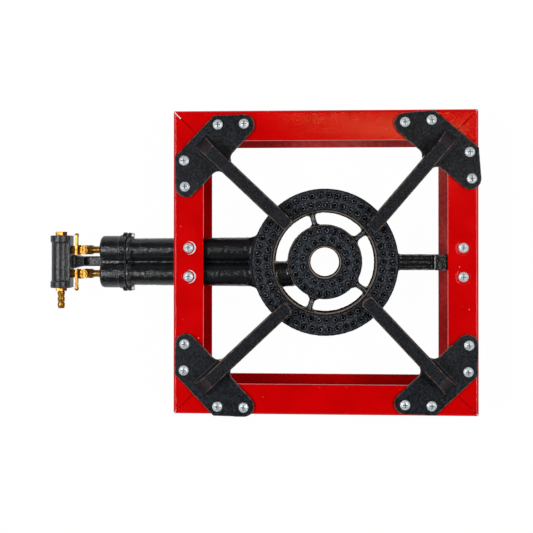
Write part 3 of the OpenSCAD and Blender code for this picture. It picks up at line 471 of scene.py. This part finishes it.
def make_ground():
    """The white floor, wide enough to fill every view."""
    bpy.ops.object.select_all(action="DESELECT")
    bpy.ops.mesh.primitive_plane_add(size=12, location=(0, 0, 0))
    ground = bpy.context.active_object
    ground.name = "ground"
    dress(ground, white_sweep())


def make_camera():
    """The photograph's view: from over the burner, turned a little to need little shift."""
    # Its place, turn and lens are matched to where the rings and the frame lie in the photograph
    data = bpy.data.cameras.new("camera")
    data.sensor_width = 36
    data.lens = 56.12
    data.shift_x, data.shift_y = -0.03, -0.06
    camera = bpy.data.objects.new("camera", data)
    camera.location = (burner_x - 5.1 * MM, 30.6 * MM, 1179.6 * MM)
    camera.rotation_euler = (math.radians(0.31), math.radians(2.65), 0)
    bpy.context.scene.collection.objects.link(camera)
    bpy.context.scene.camera = camera


def add_lamp(name, place, target, size, power, colour=(1, 1, 1)):
    """A soft box at a place, turned to its target."""
    data = bpy.data.lights.new(name, "AREA")
    data.shape = "RECTANGLE"
    data.size, data.size_y = size
    data.energy = power
    data.color = colour
    lamp = bpy.data.objects.new(name, data)
    lamp.location = place
    lamp.rotation_euler = (Vector(place) - Vector(target)).to_track_quat("Z", "Y").to_euler()
    bpy.context.scene.collection.objects.link(lamp)


def light_scene():
    """A dim room with a white horizon, a soft box on each side, and two warm ones for flecks."""
    world = bpy.data.worlds.new("studio")
    bpy.context.scene.world = world
    world.use_nodes = True
    tree = world.node_tree
    direction = add_node(tree, "TexCoord").outputs["Generated"]
    height = add_node(tree, "SeparateXYZ", (direction,)).outputs["Z"]
    horizon, ceiling = ((0, "#ffffff"), (0.17, "#f4f4f4")), ((0.8, "#6c6c6f"), (0.97, "#101114"))
    room = (*horizon, (0.3, "#77777a"), *ceiling)
    sky = add_node(tree, "ValToRGB", {"Fac": height}, stops=room)
    set_inputs(tree, tree.nodes["Background"], {"Color": sky, "Strength": 1})

    middle, aside, up = (burner_x, 0, 0), 1.27, 2.03
    add_lamp("left_box", (burner_x - aside, 0, up), middle, (1.4, 0.5), 32)
    add_lamp("right_box", (burner_x + aside, 0, up), middle, (1.4, 0.5), 26)
    warm = (1, 0.72, 0.3)
    add_lamp("rear_box", (0.16, 0.37, 1.25), (0.12, 0.2, 0), (0.34, 0.04), 0.6, warm)
    add_lamp("corner_box", (0.4, 0.28, 1.25), (0.24, 0.15, 0), (0.07, 0.16), 0.25, warm)


make_camera()
make_ground()
light_scene()
bpy.context.scene.view_settings.view_transform = "Standard"

# ---- Burner ----------------------------------------------------------------------------------


def port_places():
    """The middles of all the ports, at the height of the rings' tops."""
    places = []
    for (inner, outer), share, count in PORT_ROWS:
        radius = inner + (outer - inner) * share
        for k in range(count):
            turn = 2 * math.pi * k / count
            x, y = burner_x + radius * math.cos(turn), radius * math.sin(turn)
            places.append(Vector((x, y, RING_TOP)))
    return places


def add_at_ports(section, steps, chance=None):
    """A spun shape at every port, in one piece; with chance, each a little off, as from sand."""
    section = [(radius * MM, height * MM) for radius, height in section]
    model = spin_section(section, (0, 0, 0), steps)
    drift, lean = 0.25, 0.05
    copies = []
    for place in port_places():
        twin = bpy.data.objects.new(model.name, model.data.copy())
        twin.location = place
        if chance:
            off = Vector((chance.uniform(-1, 1), chance.uniform(-1, 1), 0))
            twin.location += off * drift * MM
            width = chance.uniform(0.93, 1.06)
            twin.scale = (width, width, chance.uniform(0.75, 1.1))
            twin.rotation_euler = (
                chance.uniform(-lean, lean),
                chance.uniform(-lean, lean),
                chance.uniform(0, 6),
            )
        bpy.context.scene.collection.objects.link(twin)
        copies.append(twin)
    bpy.data.objects.remove(model)
    join(copies)
    return settle()


def from_0_to_1(value):
    """The value, held between 0 and 1."""
    return min(1.0, max(0.0, value))


def mark_burner(piece):
    """Writes how sooty and shaded, how rubbed and highlighted, and how burnt bare and sheened each
    point of the burner is.
    """
    # In mm: the radii and height of a port's lip, the soot and painted shade round a port and along
    # a ring's edge, and the depth under the rings' tops where the bare band with painted sheen
    # starts and ends, with its fades
    lip_inner, lip_outer, lip_up = 1.9, 2.7, 0.7
    dark_round_port, dark_fade, dark_along_edge = 4.2, 0.6, 1.6
    band_from, band_fade_in, band_to, band_fade_out = 2, 3, 19, 6
    places = port_places()
    ports = kdtree.KDTree(len(places))
    for index, place in enumerate(places):
        ports.insert(place, index)
    ports.balance()
    names = ("soot_and_shade", "pale_marks", "burnt_and_sheen")
    for name in names:
        piece.data.attributes.new(name, "FLOAT", "POINT")
    soot_and_shade, pale_marks, burnt_and_sheen = (piece.data.attributes[name].data for name in names)
    edges = (*OUTER_RING, *CENTRE_RING)
    for index, vertex in enumerate(piece.data.vertices):
        x, y, z = vertex.co
        if z > RING_TOP - 4 * MM:
            off = ports.find(Vector((x, y, RING_TOP)))[2] / MM
            on_lip = lip_inner < off < lip_outer and z > RING_TOP + lip_up * MM
            pale_marks[index].value = 1.0 if on_lip else 0.0
            rim = min(abs(math.hypot(x - burner_x, y) - edge) for edge in edges) / MM
            round_port = from_0_to_1(1 - (off - dark_round_port) / dark_fade)
            soot_and_shade[index].value = max(round_port, from_0_to_1(dark_along_edge - rim))
        deep = (RING_TOP - z) / MM
        fade_in = from_0_to_1((deep - band_from) / band_fade_in)
        fade_out = from_0_to_1((band_to - deep) / band_fade_out)
        burnt_and_sheen[index].value = fade_in * fade_out


def paint_burner(burner):
    """Burnt iron on the rings, tube paint on tubes and ribs, bare iron with a painted sheen on the
    openings' walls.
    """
    mark_burner(burner)
    dress(burner, burner_iron(), tube_paint, burnt_iron_and_sheen())
    for face in burner.data.polygons:
        x, y, z = face.center
        radius = math.hypot(x - burner_x, y)
        across = abs(face.normal.x * (x - burner_x) + face.normal.y * y) / max(radius, MM)
        on_rib = CENTRE_RING[1] + 1 * MM < radius < OUTER_RING[0] - 1 * MM
        within = radius < OUTER_RING[0] + 0.5 * MM and z < RING_TOP - 2 * MM
        # The openings' walls are the faces that look to the burner's middle or away from it
        if within and across > 0.8:
            face.material_index = 2
        elif on_rib or radius > OUTER_RING[1] + 3 * MM:
            face.material_index = 1
    select_only(burner)
    bpy.ops.object.shade_smooth_by_angle(angle=math.radians(50))


def make_burner():
    """The burner as one rough casting: its shape without ports, filled, then nubs and bores."""
    burner = copy_of_node("burner_casting", "burner")
    # The cut for the nubs and the filling of the channels meet a hair under the rings' tops
    far, hair = 1.0, 0.02 * MM
    combine(burner, add_block((-far, -far, RING_TOP - hair), (far, far, far)), "DIFFERENCE")
    low, high = RING_BOTTOM + RING_WALL - RING_TOP, -hair
    for inner, outer in (OUTER_RING, CENTRE_RING):
        start, end = inner + RING_WALL, outer - RING_WALL
        channel = [(start, low), (end, low), (end, high), (start, high)]
        combine(burner, spin_section(channel, (burner_x, 0, RING_TOP), 144), "UNION")
    # The bores are left open at the mouth, and filled from there to each tube's own ring
    mouth = tube_end_x + 75 * MM
    for y, ring_end in ((FEED_Y, 80 * MM), (-FEED_Y, 40 * MM)):
        start, end = (mouth, y, FEED_Z), (burner_x - ring_end, y, FEED_Z)
        combine(burner, add_rod(FEED_BORE_RADIUS, start, end), "UNION")
    cast(burner, voxel=1.6 * MM, passes=2)
    roughen(burner, grain=3.5 * MM, height=0.8 * MM)
    combine(burner, add_at_ports(NUB_SECTION, 14, random.Random(5)), "UNION")
    combine(burner, add_at_ports(BORE_SECTION, 12), "DIFFERENCE")
    paint_burner(burner)
    fit(burner, "stove", "cast_iron", "burner_casting")


# ---- The other castings ----------------------------------------------------------------------


def make_casting(node, name, slot, material, voxel, passes, grain, height):
    """A rough casting in a CAD node's shape."""
    piece = copy_of_node(node, name)
    cast(piece, voxel, passes)
    roughen(piece, grain, height)
    dress(piece, material)
    fit(piece, "stove", slot, node)


make_burner()
make_casting(
    "mouthpiece",
    "mouthpiece_cast",
    "cast_iron",
    tube_paint,
    voxel=0.8 * MM,
    passes=7,
    grain=3.5 * MM,
    height=0.5 * MM,
)
make_casting(
    "manifold",
    "manifold_cast",
    "cast_iron",
    manifold_paint,
    voxel=0.7 * MM,
    passes=8,
    grain=3.5 * MM,
    height=0.35 * MM,
)
for corner in ("front_left", "front_right", "rear_right", "rear_left"):
    make_casting(
        f"pan_support_{corner}",
        f"support_{corner}",
        "black_enamel",
        support_paint,
        voxel=1.0 * MM,
        passes=3,
        grain=3 * MM,
        height=0.35 * MM,
    )

# ---- Folded, pressed and turned pieces -------------------------------------------------------


def mark_hollows(piece, reach):
    """Writes how far each point lies in a hollow: the share of rays from it that meet the piece."""
    skin = bvhtree.BVHTree.FromObject(piece, bpy.context.evaluated_depsgraph_get())
    hollow = piece.data.attributes.new("hollow", "FLOAT", "POINT")
    golden = math.pi * (3 - math.sqrt(5))
    count = 24
    sphere = []
    for k in range(count):
        height = 1 - (2 * k + 1) / count
        flat = math.sqrt(1 - height * height)
        sphere.append(Vector((flat * math.cos(golden * k), flat * math.sin(golden * k), height)))
    for vertex, mark in zip(piece.data.vertices, hollow.data):
        rays = [ray for ray in sphere if ray.dot(vertex.normal) > 0.1]
        start = vertex.co + vertex.normal * 0.05 * MM
        met = sum(skin.ray_cast(start, ray, reach)[0] is not None for ray in rays)
        mark.value = met / max(1, len(rays))


def break_edges(node, slot, body):
    """A CAD node's shape with its sharp edges broken, as paint, plating or wear rounds them."""
    finish, width = PRESSED_AND_TURNED[slot]
    piece = copy_of_node(node, f"{node}_finished")
    bpy.ops.object.mode_set(mode="EDIT")
    bpy.ops.mesh.select_all(action="SELECT")
    bpy.ops.mesh.dissolve_limited(angle_limit=math.radians(1))
    bpy.ops.object.mode_set(mode="OBJECT")
    sharp = math.radians(35)
    apply_modifier(
        piece, "BEVEL", width=width, segments=2, limit_method="ANGLE", angle_limit=sharp
    )
    # The hollow share darkens zinc and brass, as dirt and grease and as painted shade
    if slot != "red_paint":
        mark_hollows(piece, 4 * MM)
    dress(piece, finish)
    select_only(piece)
    bpy.ops.object.shade_smooth_by_angle(angle=sharp)
    apply_modifier(piece, "WEIGHTED_NORMAL", keep_sharp=True)
    fit(piece, body, slot, node)


for body, names in frame["record"]["behaviour"]["bodies"].items():
    for part in frame["record"]["subparts"]:
        if part["node"] in names and part["material_slot"] in PRESSED_AND_TURNED:
            break_edges(part["node"], part["material_slot"], body)


def add_rub_marks():
    """Bare metal: crescents rubbed by the left burner screws' heads, and a mitre's ground weld."""
    low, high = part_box("burner_screws")
    head_radius = 6.5 * MM
    screw_x, screw_y = low.x + head_radius, high.y - head_radius
    crescent_x = screw_x + 1.4 * MM
    under, over = frame_top - 0.2 * MM, frame_top + 0.2 * MM
    far_under, far_over = frame_top - 1 * MM, frame_top + 1 * MM
    marks = []
    for y in (screw_y, -screw_y):
        mark = add_rod(8.6 * MM, (crescent_x, y, under), (crescent_x, y, over))
        left_painted = add_rod(8.3 * MM, (screw_x, y, far_under), (screw_x, y, far_over))
        marks.append(combine(mark, left_painted, "DIFFERENCE"))
    weld = add_block((3.6 * MM, -0.6 * MM, under), (14 * MM, 0.6 * MM, over))
    weld.rotation_euler.z = math.radians(-45)
    weld.location = (left_low.x, left_high.y, 0)
    marks.append(settle())
    piece = join(marks)
    piece.name = piece.data.name = "rub_marks"
    dress(piece, PRESSED_AND_TURNED["zinc_steel"][0])
    fit(piece, "stove", "zinc_steel")


add_rub_marks()
